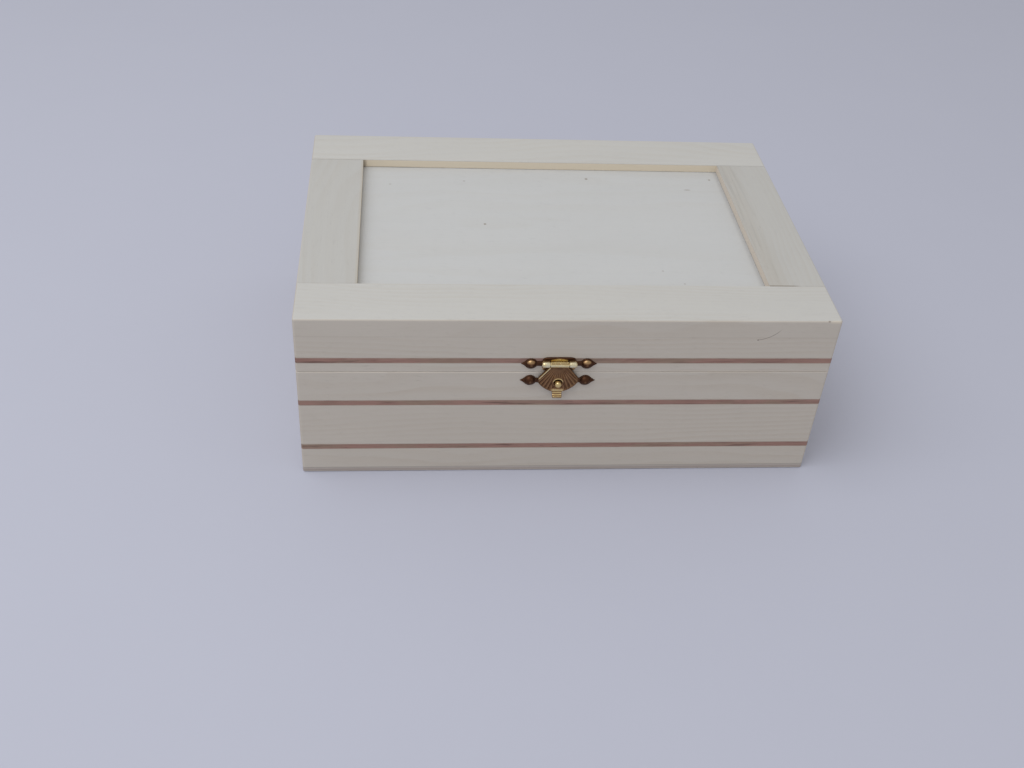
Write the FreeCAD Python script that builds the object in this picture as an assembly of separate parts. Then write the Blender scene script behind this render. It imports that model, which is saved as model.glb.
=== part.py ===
import FreeCAD
import Part

import math
import os

from FreeCAD import Vector

# Hinged wooden box with a framed lid, banded walls and a brass shell clasp.
# Millimetres. X runs along the box, the clasp side faces -Y, +Z is up, and the
# origin is the middle of the underside.

# Box outline
box_length = 200.0
box_depth = 141.0
box_height = 73.2          # closed, from the table to the top of the lid frame
wall = 9.0                 # thickness of every wall board
bottom_thick = 2.4

# Heights of the strips that each wall board is glued up from, from the foot up;
# the pale strip between the two dark ones of the base takes up what is left
foot_strip = 9.6           # pale, stands on the bottom panel
band = 2.4                 # dark strip, three of them up the wall
rim_strip = 13.4           # pale, up to the saw cut that frees the lid
seam_gap = 0.15            # air between the closed lid and the base
lip_strip = 4.0            # pale, left on the lid by the saw cut
crown_strip = 9.6          # pale, carries the lid frame

# Lid frame and its sunken panel
frame_thick = 7.5
rail_width = 22.7          # front and rear members
stile_width = 22.0         # the two between them
recess_depth = 3.5         # frame's top face down to the panel
rabbet_width = 5.0         # step under the frame that takes the panel's edge
panel_thick = 3.0
panel_slack = 0.15         # glue line between the panel and the step
panel_play = 0.3           # room at the panel's edge for the wood to move

# Eased edges
corner_ease = 0.9          # upright corners
top_ease = 0.7             # outer edge of the lid frame
rim_ease = 0.25            # both sides of the seam
foot_ease = 0.6            # under the bottom panel
joint_ease = 0.2           # ends of the stiles, where the joint line shows

# Round-head brass nails
nail_radius = 0.5
hinge_nail_head_radius = 1.65
hinge_nail_head_rise = 0.75
clasp_nail_head_radius = 1.9
clasp_nail_head_rise = 1.2
nail_point = 1.0
nail_cover = 3.0           # wood left between the nail's point and the inside
nail_fit = 0.02            # hole larger than the nail, on the radius
plate_hole_fit = 0.06      # the same, in sheet metal

# Fits of the brass hinges
pin_fit = 0.02             # pin in the knuckles that hold it
running_fit = 0.05         # pin in the knuckle that turns on it
knuckle_gap = 0.2          # between neighbouring knuckles, along the pin
turning_gap = 0.3          # between a turning knuckle and what it passes

# Butt hinges on the back
hinge_length = 20.0
hinge_inset = 38.0         # from the end of the box to the middle of a hinge
hinge_middle_knuckle = 7.6 # length of the knuckle on the lid's leaf
leaf_thick = 0.7
leaf_reach = 8.5           # pin line to the far edge of a leaf
leaf_nail_reach = 5.3      # pin line to the nails
leaf_nail_spacing = 12.0
leaf_corner = 1.2
hinge_knuckle_radius = 1.3
hinge_pin_radius = 0.6

# Clasp: two winged plates, a fluted flap and the stud that it closes over
clasp_offset = -3.7        # from the middle of the box
clasp_plate_thick = 0.6
clasp_axis_rise = 4.9      # lid's lower edge up to the flap's pin
clasp_nail_rise = 4.0      # lid's lower edge up to the upper nails
clasp_catch_drop = 3.6     # base's upper edge down to the stud and lower nails
clasp_nail_spacing = 20.8
eyelet_radius = 2.1
wing_tip_reach = 3.7       # eyelet centre to the pointed tip
wing_spread_deg = 38.0     # where the tip's sides leave the eyelet
wing_hollow = 0.25         # how far those sides curve in
wing_neck = 2.0            # height of the plate between eyelet and middle
heart_width = 12.4         # middle of the upper plate
heart_top = 2.0            # above the flap's pin
heart_bottom = 0.6         # above the lid's lower edge
heart_corner = 1.4
catch_pad_radius = 2.6     # round middle of the lower plate
clasp_barrel_length = 13.1
clasp_knuckle_radius = 1.1
clasp_knuckle_ease = 0.4   # rounded outer ends of the barrel
clasp_pin_radius = 0.45
stud_post_radius = 0.8
stud_ball_radius = 1.35
stud_ball_rise = 2.1       # lower plate's face to the middle of the ball

# Flap of the clasp
flap_thick = 0.9
flap_neck = 6.9            # width where it leaves the pin
flap_neck_drop = 1.3       # pin to the foot of the neck
flap_width = 15.2
flap_shoulder_drop = 6.8   # pin to the widest points
flap_side = 1.6            # upright edge below the widest points
flap_belly = 0.6           # how far the lower edges bulge
flap_waist = 5.0           # width where the finger tab starts
flap_waist_drop = 12.8
flap_bead = 0.35           # radius of the rim along the slanted edges
flute_count = 13
flute_pitch_deg = 7.5
flute_slope = 0.036        # groove depth for each millimetre from the pin
flute_share = 0.9          # groove width as a share of the pitch
flute_start = 2.2          # from the pin
stud_clearance = 0.45      # between the ball and the hole in the flap
collar_width = 0.7
collar_rise = 0.25
tab_width = 3.6
tab_bend_radius = 1.5      # inside of the curl
tab_bend_deg = 60.0
tab_tip = 0.8              # straight end past the curl

touching = 1e-6            # places closer than this count as the same

# Places worked out from the sizes above
base_pale = foot_strip + rim_strip
lid_pale = lip_strip + crown_strip
middle_strip = box_height - bottom_thick - base_pale - 3 * band - seam_gap - lid_pale - frame_thick
half_length = box_length / 2
half_depth = box_depth / 2
inner_half_length = half_length - wall
inner_half_depth = half_depth - wall
base_heights = {}
lid_heights = {}
level = bottom_thick
for strip_name, strip_height in (
    ("foot_strip", foot_strip),
    ("lower_band", band),
    ("middle_strip", middle_strip),
    ("upper_band", band),
    ("rim_strip", rim_strip),
):
    base_heights[strip_name] = (level, level + strip_height)
    level += strip_height
base_top = level
lid_bottom = base_top + seam_gap
level = lid_bottom
for strip_name, strip_height in (
    ("lip_strip", lip_strip),
    ("band", band),
    ("crown_strip", crown_strip),
):
    lid_heights[strip_name] = (level, level + strip_height)
    level += strip_height
frame_bottom = level
frame_top = frame_bottom + frame_thick
opening_half_length = half_length - stile_width
opening_half_depth = half_depth - rail_width
shoulder_level = frame_top - recess_depth + panel_slack

hinge_stand_off = max(hinge_knuckle_radius + turning_gap, leaf_thick + hinge_nail_head_rise + turning_gap / 2)
hinge_axis_y = half_depth + hinge_stand_off
hinge_axis_z = (base_top + lid_bottom) / 2
hinge_centres = {"left": -half_length + hinge_inset, "right": half_length - hinge_inset}

front_face = -half_depth
plate_face = front_face - clasp_plate_thick
flap_back = plate_face - turning_gap
flap_face = flap_back - flap_thick
clasp_axis_y = flap_back - clasp_knuckle_radius
clasp_axis_z = lid_bottom + clasp_axis_rise
clasp_nail_z = lid_bottom + clasp_nail_rise
catch_z = base_top - clasp_catch_drop
clasp_nail_x = (clasp_offset - clasp_nail_spacing / 2, clasp_offset + clasp_nail_spacing / 2)
nail_depth = wall - nail_cover


# Helpers

def block(x_range, y_range, z_range):
    """Box between two limits along each axis."""
    low = Vector(x_range[0], y_range[0], z_range[0])
    size = [r[1] - r[0] for r in (x_range, y_range, z_range)]
    return Part.makeBox(*size, low)


def round_edges(shape, radius, chosen):
    """Fillet of every edge that the function chosen accepts."""
    return shape.makeFillet(radius, [edge for edge in shape.Edges if chosen(edge)])


def is_upright(edge):
    """A straight edge along Z."""
    low, high = edge.Vertexes[0].Point, edge.Vertexes[-1].Point
    return abs(low.x - high.x) < touching and abs(low.y - high.y) < touching


def lies_at(edge, height):
    """An edge that runs wholly at one height."""
    box = edge.BoundBox
    return abs(box.ZMin - height) < touching and abs(box.ZMax - height) < touching


def rod(radius, x_range, y, z):
    """Cylinder along X."""
    return Part.makeCylinder(radius, x_range[1] - x_range[0], Vector(x_range[0], y, z), Vector(1, 0, 0))


def flat_face(points):
    """Face inside straight sides through the points."""
    return Part.Face(Part.makePolygon(points + points[:1]))


def fuse_all(shapes):
    """One solid from touching shapes, with the seams between flat faces removed."""
    return shapes[0].multiFuse(shapes[1:]).removeSplitter()


# Wood of the walls

def wall_strip(side, z_range):
    """Strip of one wall: the front and rear boards run full length, the sides sit between them."""
    if side in ("front", "rear"):
        outward = -1 if side == "front" else 1
        y_range = sorted((outward * half_depth, outward * inner_half_depth))
        strip = block((-half_length, half_length), y_range, z_range)
        return round_edges(
            strip,
            corner_ease,
            lambda edge: is_upright(edge) and abs(edge.CenterOfMass.y - outward * half_depth) < touching,
        )
    outward = -1 if side == "left" else 1
    x_range = sorted((outward * half_length, outward * inner_half_length))
    return block(x_range, (-inner_half_depth, inner_half_depth), z_range)


def ease_outside(strip, side, height, radius):
    """Rounds the outer edges of a wall strip at one height, and leaves the edge inside the box sharp."""
    def outside(edge):
        middle = edge.CenterOfMass
        if side in ("front", "rear"):
            return lies_at(edge, height) and abs(abs(middle.y) - inner_half_depth) > touching
        return lies_at(edge, height) and abs(abs(middle.x) - half_length) < touching
    return round_edges(strip, radius, outside)


def make_walls():
    """All strips of the base and the lid, by node name."""
    strips = {}
    for side in ("front", "rear", "left", "right"):
        for name, z_range in base_heights.items():
            strip = wall_strip(side, z_range)
            if name == "rim_strip":
                strip = ease_outside(strip, side, base_top, rim_ease)
            strips[f"base_{side}_{name}"] = strip
        for name, z_range in lid_heights.items():
            strip = wall_strip(side, z_range)
            if name == "lip_strip":
                strip = ease_outside(strip, side, lid_bottom, rim_ease)
            strips[f"lid_{side}_{name}"] = strip
    return strips


def make_bottom_panel():
    """Thin board under all four walls."""
    panel = block((-half_length, half_length), (-half_depth, half_depth), (0, bottom_thick))
    panel = round_edges(panel, corner_ease, is_upright)
    return round_edges(panel, foot_ease, lambda edge: lies_at(edge, 0))


# Lid frame and panel

def make_frame():
    """Two full-length rails, two stiles between them, with a step cut below for the panel."""
    pocket = block(
        (-opening_half_length - rabbet_width, opening_half_length + rabbet_width),
        (-opening_half_depth - rabbet_width, opening_half_depth + rabbet_width),
        (frame_bottom, shoulder_level),
    )
    members = {}
    for side, outward in (("front", -1), ("rear", 1)):
        y_range = sorted((outward * half_depth, outward * opening_half_depth))
        rail = block((-half_length, half_length), y_range, (frame_bottom, frame_top))
        rail = round_edges(
            rail,
            corner_ease,
            lambda edge: is_upright(edge) and abs(edge.CenterOfMass.y - outward * half_depth) < touching,
        )
        rail = round_edges(
            rail,
            top_ease,
            lambda edge: lies_at(edge, frame_top)
            and abs(edge.CenterOfMass.y - outward * opening_half_depth) > touching,
        )
        members[f"lid_{side}_rail"] = rail.cut(pocket)
    for side, outward in (("left", -1), ("right", 1)):
        x_range = sorted((outward * half_length, outward * opening_half_length))
        stile = block(x_range, (-opening_half_depth, opening_half_depth), (frame_bottom, frame_top))
        stile = round_edges(
            stile,
            top_ease,
            lambda edge: lies_at(edge, frame_top)
            and abs(edge.CenterOfMass.x - outward * half_length) < touching,
        )
        joint_edges = [
            edge
            for edge in stile.Edges
            if lies_at(edge, frame_top) and abs(abs(edge.CenterOfMass.y) - opening_half_depth) < touching
        ]
        stile = stile.makeChamfer(joint_ease, joint_edges)
        members[f"lid_{side}_stile"] = stile.cut(pocket)
    return members


def make_lid_panel():
    """Sheet in the frame's step, with room round its edge."""
    half_x = opening_half_length + rabbet_width - panel_play
    half_y = opening_half_depth + rabbet_width - panel_play
    top = frame_top - recess_depth
    return block((-half_x, half_x), (-half_y, half_y), (top - panel_thick, top))


# Nails

def nail(x, face_y, z, outward, sheet, head_radius, head_rise):
    """Round-head nail through a sheet into the wood behind it; face_y is the sheet's outer face."""
    length = sheet + nail_depth
    ball = (head_radius ** 2 + head_rise ** 2) / (2 * head_rise)
    halfway = math.asin(head_radius / ball) / 2
    dome = Part.Arc(
        Vector(head_radius, 0, 0),
        Vector(ball * math.sin(halfway), 0, head_rise - ball + ball * math.cos(halfway)),
        Vector(0, 0, head_rise),
    ).toShape()
    sides = Part.makePolygon([
        Vector(0, 0, head_rise),
        Vector(0, 0, -length),
        Vector(nail_radius, 0, -length + nail_point),
        Vector(nail_radius, 0, 0),
        Vector(head_radius, 0, 0),
    ])
    profile = Part.Face(Part.Wire([dome] + sides.Edges))
    shape = profile.revolve(Vector(0, 0, 0), Vector(0, 0, 1), 360)
    shape.rotate(Vector(0, 0, 0), Vector(1, 0, 0), 90 if outward < 0 else -90)
    shape.translate(Vector(x, face_y, z))
    return shape


def nail_hole(x, wood_y, z, outward):
    """Hole that the nail's shank fills in the wood."""
    into_wood = Vector(0, -outward, 0)
    return Part.makeCylinder(nail_radius + nail_fit, nail_depth, Vector(x, wood_y, z), into_wood)


def sheet_hole(x, wood_y, z, outward, sheet):
    """Hole for a nail through a metal sheet that lies on the wood."""
    through = Vector(0, outward, 0)
    return Part.makeCylinder(nail_radius + plate_hole_fit, sheet, Vector(x, wood_y, z), through)


# Butt hinges

def knuckle_spans(centre, length, middle_length):
    """X ranges of the left, middle and right knuckles of a three-knuckle barrel."""
    inner = middle_length / 2
    half = length / 2
    return (
        (centre - half, centre - inner - knuckle_gap),
        (centre - inner, centre + inner),
        (centre + inner + knuckle_gap, centre + half),
    )


def hinge_nail_places(middle):
    """X of the two nails of a leaf."""
    return (middle - leaf_nail_spacing / 2, middle + leaf_nail_spacing / 2)


def hinge_leaf(middle, upward):
    """Leaf on the back of the box with its rolled knuckles: the outer two below, the middle one above."""
    left, centre, right = knuckle_spans(middle, hinge_length, hinge_middle_knuckle)
    own, other = ([centre], [left, right]) if upward else ([left, right], [centre])
    bore = hinge_pin_radius + (running_fit if upward else pin_fit)
    sign = 1 if upward else -1
    leaf_y = (half_depth, half_depth + leaf_thick)
    z_range = sorted((hinge_axis_z, hinge_axis_z + sign * leaf_reach))
    leaf = block((middle - hinge_length / 2, middle + hinge_length / 2), leaf_y, z_range)
    far_edge = hinge_axis_z + sign * leaf_reach
    corners = [
        edge
        for edge in leaf.Edges
        if abs(edge.CenterOfMass.z - far_edge) < touching and edge.Length < leaf_thick + touching
    ]
    leaf = leaf.makeFillet(leaf_corner, corners)
    notch_reach = hinge_knuckle_radius + turning_gap
    for span in other:
        notch_z = sorted((hinge_axis_z, hinge_axis_z + sign * notch_reach))
        wide = (span[0] - knuckle_gap, span[1] + knuckle_gap)
        leaf = leaf.cut(block(wide, leaf_y, notch_z))
    knuckles = [rod(hinge_knuckle_radius, span, hinge_axis_y, hinge_axis_z) for span in own]
    solid = fuse_all([leaf] + knuckles)
    solid = solid.cut(rod(bore, (left[0], right[1]), hinge_axis_y, hinge_axis_z))
    nail_z = hinge_axis_z + sign * leaf_nail_reach
    for x in hinge_nail_places(middle):
        solid = solid.cut(sheet_hole(x, half_depth, nail_z, 1, leaf_thick))
    return solid


def make_hinges(strips):
    """Both hinges, their pins and nails; drills the nail holes in the rear strips."""
    pieces = {}
    nails = {"base": [], "lid": []}
    for side, middle in hinge_centres.items():
        pieces[f"{side}_hinge_base_leaf"] = hinge_leaf(middle, False)
        pieces[f"{side}_hinge_lid_leaf"] = hinge_leaf(middle, True)
        span = (middle - hinge_length / 2, middle + hinge_length / 2)
        pieces[f"{side}_hinge_pin"] = rod(hinge_pin_radius, span, hinge_axis_y, hinge_axis_z)
        for body, sign in (("base", -1), ("lid", 1)):
            z = hinge_axis_z + sign * leaf_nail_reach
            for x in hinge_nail_places(middle):
                nails[body].append(nail(
                    x, half_depth + leaf_thick, z, 1, leaf_thick, hinge_nail_head_radius, hinge_nail_head_rise
                ))
                drill(strips, f"{body}_rear_", nail_hole(x, half_depth, z, 1))
    pieces["hinge_base_nails"] = Part.makeCompound(nails["base"])
    pieces["hinge_lid_nails"] = Part.makeCompound(nails["lid"])
    return pieces


def drill(strips, prefix, hole):
    """Cuts a nail's hole from each strip of that wall which it meets."""
    for name, strip in strips.items():
        if name.startswith(prefix) and strip.common(hole).Volume > touching:
            strips[name] = strip.cut(hole)


# Clasp

def sheet_from(face, y_back, y_front):
    """Sheet metal cut to an outline that is drawn in the XZ plane at y_back."""
    face.translate(Vector(0, y_back, 0))
    return face.extrude(Vector(0, y_front - y_back, 0))


def wing(x, z, outward):
    """Eyelet with a pointed ogee tip, as flat outlines."""
    spread = math.radians(wing_spread_deg)
    tip = Vector(x + outward * wing_tip_reach, 0, z)
    edges = []
    for side in (1, -1):
        root = Vector(
            x + outward * eyelet_radius * math.cos(spread), 0, z + side * eyelet_radius * math.sin(spread)
        )
        hollow = (root + tip) * 0.5 + Vector(0, 0, -side * wing_hollow)
        edges.append(Part.Arc(root, hollow, tip).toShape())
    upper, lower = edges
    closing = Part.makeLine(lower.Vertexes[0].Point, upper.Vertexes[0].Point)
    point = Part.Face(Part.Wire(Part.__sortEdges__([upper, lower, closing])))
    disc = Part.Face(Part.Wire(Part.makeCircle(eyelet_radius, Vector(x, 0, z), Vector(0, -1, 0))))
    return [disc, point]


def winged_plate(z, middle):
    """Plate on the front of the box: a middle, a narrow neck either side and two eyelets."""
    faces = []
    for x, outward in zip(clasp_nail_x, (-1, 1)):
        faces += wing(x, z, outward)
    half = wing_neck / 2
    faces.append(flat_face([
        Vector(clasp_nail_x[0], 0, z - half),
        Vector(clasp_nail_x[1], 0, z - half),
        Vector(clasp_nail_x[1], 0, z + half),
        Vector(clasp_nail_x[0], 0, z + half),
    ]))
    plate = fuse_all([middle] + [sheet_from(face, front_face, plate_face) for face in faces])
    for x in clasp_nail_x:
        plate = plate.cut(sheet_hole(x, front_face, z, -1, clasp_plate_thick))
    return plate


def clasp_spans():
    """Knuckles of the clasp's barrel; the flap's neck sets the middle one."""
    return knuckle_spans(clasp_offset, clasp_barrel_length, flap_neck)


def make_upper_plate():
    """Plate on the lid, rolled over at the top into the two outer knuckles."""
    low = lid_bottom + heart_bottom
    high = clasp_axis_z + heart_top
    half = heart_width / 2
    heart = block((clasp_offset - half, clasp_offset + half), (plate_face, front_face), (low, high))
    heart = round_edges(heart, heart_corner, lambda edge: edge.BoundBox.YLength > touching)
    left, _, right = clasp_spans()
    web_left = (left[0] + 2 * clasp_knuckle_ease, left[1])
    web_right = (right[0], right[1] - 2 * clasp_knuckle_ease)
    web_height = (clasp_axis_z, clasp_axis_z + clasp_plate_thick)
    rolled = []
    for span, end, web in ((left, left[0], web_left), (right, right[1], web_right)):
        knuckle = rod(clasp_knuckle_radius, span, clasp_axis_y, clasp_axis_z)
        rolled.append(round_edges(
            knuckle,
            clasp_knuckle_ease,
            lambda edge: edge.BoundBox.XLength < touching and abs(edge.BoundBox.XMin - end) < touching,
        ))
        rolled.append(block(web, (clasp_axis_y, plate_face), web_height))
    plate = fuse_all([winged_plate(clasp_nail_z, heart)] + rolled)
    bore = rod(clasp_pin_radius + pin_fit, (left[0], right[1]), clasp_axis_y, clasp_axis_z)
    return plate.cut(bore)


def make_lower_plate():
    """Plate on the base, with a round pad that the stud is riveted through."""
    foot = Vector(clasp_offset, front_face, catch_z)
    pad = Part.makeCylinder(catch_pad_radius, clasp_plate_thick, foot, Vector(0, -1, 0))
    seat = Part.makeCylinder(stud_post_radius + pin_fit, clasp_plate_thick, foot, Vector(0, -1, 0))
    return winged_plate(catch_z, pad).cut(seat)


def make_stud():
    """Ball on a post, turned as one piece."""
    meet = stud_ball_rise - math.sqrt(stud_ball_radius ** 2 - stud_post_radius ** 2)
    top = stud_ball_rise + stud_ball_radius
    ball = Part.Arc(
        Vector(stud_post_radius, 0, meet), Vector(stud_ball_radius, 0, stud_ball_rise), Vector(0, 0, top)
    ).toShape()
    post = Part.makePolygon([
        Vector(0, 0, top),
        Vector(0, 0, -clasp_plate_thick),
        Vector(stud_post_radius, 0, -clasp_plate_thick),
        Vector(stud_post_radius, 0, meet),
    ])
    stud = Part.Face(Part.Wire([ball] + post.Edges)).revolve(Vector(0, 0, 0), Vector(0, 0, 1), 360)
    stud.rotate(Vector(0, 0, 0), Vector(1, 0, 0), 90)
    stud.translate(Vector(clasp_offset, plate_face, catch_z))
    return stud


def fan_outline():
    """Outline of the flap from its neck to the waist above the finger tab, in the XZ plane."""
    neck_z = clasp_axis_z - flap_neck_drop
    shoulder_z = clasp_axis_z - flap_shoulder_drop
    waist_z = clasp_axis_z - flap_waist_drop
    right = []
    neck = Vector(flap_neck / 2, 0, neck_z)
    shoulder = Vector(flap_width / 2, 0, shoulder_z)
    corner = Vector(flap_width / 2, 0, shoulder_z - flap_side)
    waist = Vector(flap_waist / 2, 0, waist_z)
    slant = (corner - waist).normalize()
    belly = (corner + waist) * 0.5 + Vector(slant.z, 0, -slant.x) * flap_belly
    right.append(Part.makeLine(Vector(flap_neck / 2, 0, clasp_axis_z), neck))
    right.append(Part.makeLine(neck, shoulder))
    right.append(Part.makeLine(shoulder, corner))
    right.append(Part.Arc(corner, belly, waist).toShape())
    left = [edge.mirror(Vector(0, 0, 0), Vector(1, 0, 0)) for edge in right]
    top = Part.makeLine(Vector(-flap_neck / 2, 0, clasp_axis_z), Vector(flap_neck / 2, 0, clasp_axis_z))
    foot = Part.makeLine(Vector(-flap_waist / 2, 0, waist_z), Vector(flap_waist / 2, 0, waist_z))
    face = Part.Face(Part.Wire(Part.__sortEdges__(right + left + [top, foot])))
    face.translate(Vector(clasp_offset, 0, 0))
    return face


def flute(angle):
    """Tapered groove that fans out from the flap's pin and deepens towards the rim."""
    half_width = math.radians(flute_pitch_deg) * flute_share / 2
    total = half_width ** 2 / flute_slope
    growth = (total + flute_slope) / 2
    lift = (total - flute_slope) / 2
    along = Vector(math.sin(angle), -lift, -math.cos(angle))
    start = Vector(clasp_offset, flap_face, clasp_axis_z) + along * flute_start
    end_reach = flap_waist_drop + flap_width / 2
    run = (end_reach - flute_start) * along.Length
    return Part.makeCone(growth * flute_start, growth * end_reach, run, start, along)


def finger_tab():
    """Strip below the waist that curls away from the box."""
    waist_z = clasp_axis_z - flap_waist_drop
    bend = math.radians(tab_bend_deg)
    pivot = Vector(0, flap_face - tab_bend_radius, waist_z)

    def on_curl(radius, angle):
        return pivot + Vector(0, radius * math.cos(angle), -radius * math.sin(angle))

    inner = tab_bend_radius
    outer = tab_bend_radius + flap_thick
    tip = Vector(0, -math.sin(bend), -math.cos(bend)) * tab_tip
    overlap = Vector(0, 0, flap_thick)
    edges = [
        Part.Arc(on_curl(inner, 0), on_curl(inner, bend / 2), on_curl(inner, bend)).toShape(),
        Part.makeLine(on_curl(inner, bend), on_curl(inner, bend) + tip),
        Part.makeLine(on_curl(inner, bend) + tip, on_curl(outer, bend) + tip),
        Part.makeLine(on_curl(outer, bend) + tip, on_curl(outer, bend)),
        Part.Arc(on_curl(outer, bend), on_curl(outer, bend / 2), on_curl(outer, 0)).toShape(),
        Part.makeLine(on_curl(outer, 0), on_curl(outer, 0) + overlap),
        Part.makeLine(on_curl(outer, 0) + overlap, on_curl(inner, 0) + overlap),
        Part.makeLine(on_curl(inner, 0) + overlap, on_curl(inner, 0)),
    ]
    face = Part.Face(Part.Wire(edges))
    face.translate(Vector(clasp_offset - tab_width / 2, 0, 0))
    return face.extrude(Vector(tab_width, 0, 0))


def slanted_bead(sign):
    """Rounded rim along one slanted edge of the flap."""
    neck = Vector(clasp_offset + sign * flap_neck / 2, flap_face, clasp_axis_z - flap_neck_drop)
    shoulder = Vector(clasp_offset + sign * flap_width / 2, flap_face, clasp_axis_z - flap_shoulder_drop)
    inward = Vector(-sign * flap_bead, 0, -flap_bead)
    run = shoulder - neck
    return Part.makeCylinder(flap_bead, run.Length, neck + inward, run)


def make_flap():
    """Fluted shell that hangs from the pin, with a hole for the stud and a curled finger tab."""
    fan = sheet_from(fan_outline(), flap_back, flap_face)
    middle = (flute_count - 1) / 2
    for i in range(flute_count):
        fan = fan.cut(flute(math.radians((i - middle) * flute_pitch_deg)))
    _, span, _ = clasp_spans()
    hole_radius = stud_ball_radius + stud_clearance
    collar = Part.makeCylinder(
        hole_radius + collar_width,
        flap_thick + collar_rise,
        Vector(clasp_offset, flap_back, catch_z),
        Vector(0, -1, 0),
    )
    barrel = rod(clasp_knuckle_radius, span, clasp_axis_y, clasp_axis_z)
    flap = fuse_all([fan, barrel, collar, finger_tab(), slanted_bead(-1), slanted_bead(1)])
    hole = Part.makeCylinder(
        hole_radius, flap_thick + collar_rise, Vector(clasp_offset, flap_back, catch_z), Vector(0, -1, 0)
    )
    bore = rod(clasp_pin_radius + running_fit, span, clasp_axis_y, clasp_axis_z)
    return flap.cut(hole).cut(bore)


def make_clasp(strips):
    """Both plates, flap, stud, pin and nails; drills the nail holes in the front strips."""
    left, _, right = clasp_spans()
    pieces = {
        "clasp_upper_plate": make_upper_plate(),
        "clasp_lower_plate": make_lower_plate(),
        "clasp_flap": make_flap(),
        "clasp_stud": make_stud(),
        "clasp_pin": rod(clasp_pin_radius, (left[0], right[1]), clasp_axis_y, clasp_axis_z),
    }
    for name, body, z in (("upper", "lid", clasp_nail_z), ("lower", "base", catch_z)):
        nails = [
            nail(x, plate_face, z, -1, clasp_plate_thick, clasp_nail_head_radius, clasp_nail_head_rise)
            for x in clasp_nail_x
        ]
        pieces[f"clasp_{name}_nails"] = Part.makeCompound(nails)
        for x in clasp_nail_x:
            drill(strips, f"{body}_front_", nail_hole(x, front_face, z, -1))
    return pieces


def main():
    strips = make_walls()
    nodes = {"base_bottom_panel": make_bottom_panel(), "lid_panel": make_lid_panel()}
    nodes.update(make_frame())
    nodes.update(make_hinges(strips))
    nodes.update(make_clasp(strips))
    nodes.update(strips)
    os.makedirs("parts", exist_ok=True)
    for name, shape in sorted(nodes.items()):
        solids = shape.Solids
        sound = shape.isValid() and all(s.isClosed() for s in solids)
        print(f"{name}: {len(solids)} solid, {shape.Volume:.2f} mm3, {'sound' if sound else 'BROKEN'}")
        shape.exportStep(f"parts/{name}.step")
    print(f"{len(nodes)} nodes; lid top at {frame_top:.2f} mm, seam at {base_top:.2f} mm")
    print(f"hinge pin at y {hinge_axis_y:.3f}, z {hinge_axis_z:.3f}")
    print(f"clasp pin at y {clasp_axis_y:.3f}, z {clasp_axis_z:.3f}, stud at z {catch_z:.3f}")


main()
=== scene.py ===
import math

import bpy
import numpy as np
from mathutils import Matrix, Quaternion, Vector


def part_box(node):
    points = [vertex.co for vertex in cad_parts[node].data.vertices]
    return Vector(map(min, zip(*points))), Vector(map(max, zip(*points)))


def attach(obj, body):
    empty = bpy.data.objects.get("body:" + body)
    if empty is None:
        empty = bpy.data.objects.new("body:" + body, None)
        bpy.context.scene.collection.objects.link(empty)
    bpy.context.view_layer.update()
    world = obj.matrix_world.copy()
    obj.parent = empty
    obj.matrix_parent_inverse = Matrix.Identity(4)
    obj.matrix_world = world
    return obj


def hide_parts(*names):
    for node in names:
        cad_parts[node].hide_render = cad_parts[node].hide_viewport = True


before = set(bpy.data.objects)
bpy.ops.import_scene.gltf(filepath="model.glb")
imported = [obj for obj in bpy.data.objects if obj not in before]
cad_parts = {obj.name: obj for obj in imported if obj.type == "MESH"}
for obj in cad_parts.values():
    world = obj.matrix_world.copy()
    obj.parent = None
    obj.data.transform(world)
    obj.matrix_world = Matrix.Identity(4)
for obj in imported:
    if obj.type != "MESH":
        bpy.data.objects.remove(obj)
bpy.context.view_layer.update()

# Looks of a hinged wooden box: finishes for the wood and brass of the frame, and the
# pressed brass of the clasp. Shapes and patterns are in millimetres, objects in metres.

MM = 0.001


def span(node):
    """Lowest and highest corner of a node, in millimetres."""
    low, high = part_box(node)
    return np.array(low) / MM, np.array(high) / MM


# Places of the lid, read from the frame
panel_top = span("lid_panel")[1][2]
rail_low, rail_high = span("lid_rear_rail")
half_length, half_depth, lid_top = rail_high
opening_half_depth = rail_low[1]
opening_half_length = span("lid_right_stile")[0][0]
base_top = span("base_front_rim_strip")[1][2]
lid_bottom = span("lid_front_lip_strip")[0][2]

# Places of the clasp, read from the frame
stud_low, stud_high = span("clasp_stud")
pin_low, pin_high = span("clasp_pin")
catch_low, catch_high = span("clasp_lower_plate")
upper_high = span("clasp_upper_plate")[1]
upper_nail_low, upper_nail_high = span("clasp_upper_nails")
lower_nail_low, lower_nail_high = span("clasp_lower_nails")
flap_low, flap_high = span("clasp_flap")
clasp_x, _, catch_z = (stud_low + stud_high) / 2
_, pin_y, pin_z = (pin_low + pin_high) / 2
front_face = catch_high[1]
plate_face = catch_low[1]
flap_back = flap_high[1]
stud_radius = (stud_high[0] - stud_low[0]) / 2
pin_radius = (pin_high[2] - pin_low[2]) / 2
nail_head_radius = (upper_nail_high[2] - upper_nail_low[2]) / 2
upper_nail_z = (upper_nail_low[2] + upper_nail_high[2]) / 2
nail_spread = (lower_nail_high[0] - lower_nail_low[0]) / 2 - nail_head_radius

# View of the photograph
camera_place = Vector((-61.27, -404.95, 313.47)) * MM
camera_aim = Vector((-19.49, -61.43, 36.6)) * MM
camera_roll_deg = 4.27
camera_lens = 40.65
camera_sensor = 36.0


# Shader maths

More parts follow.
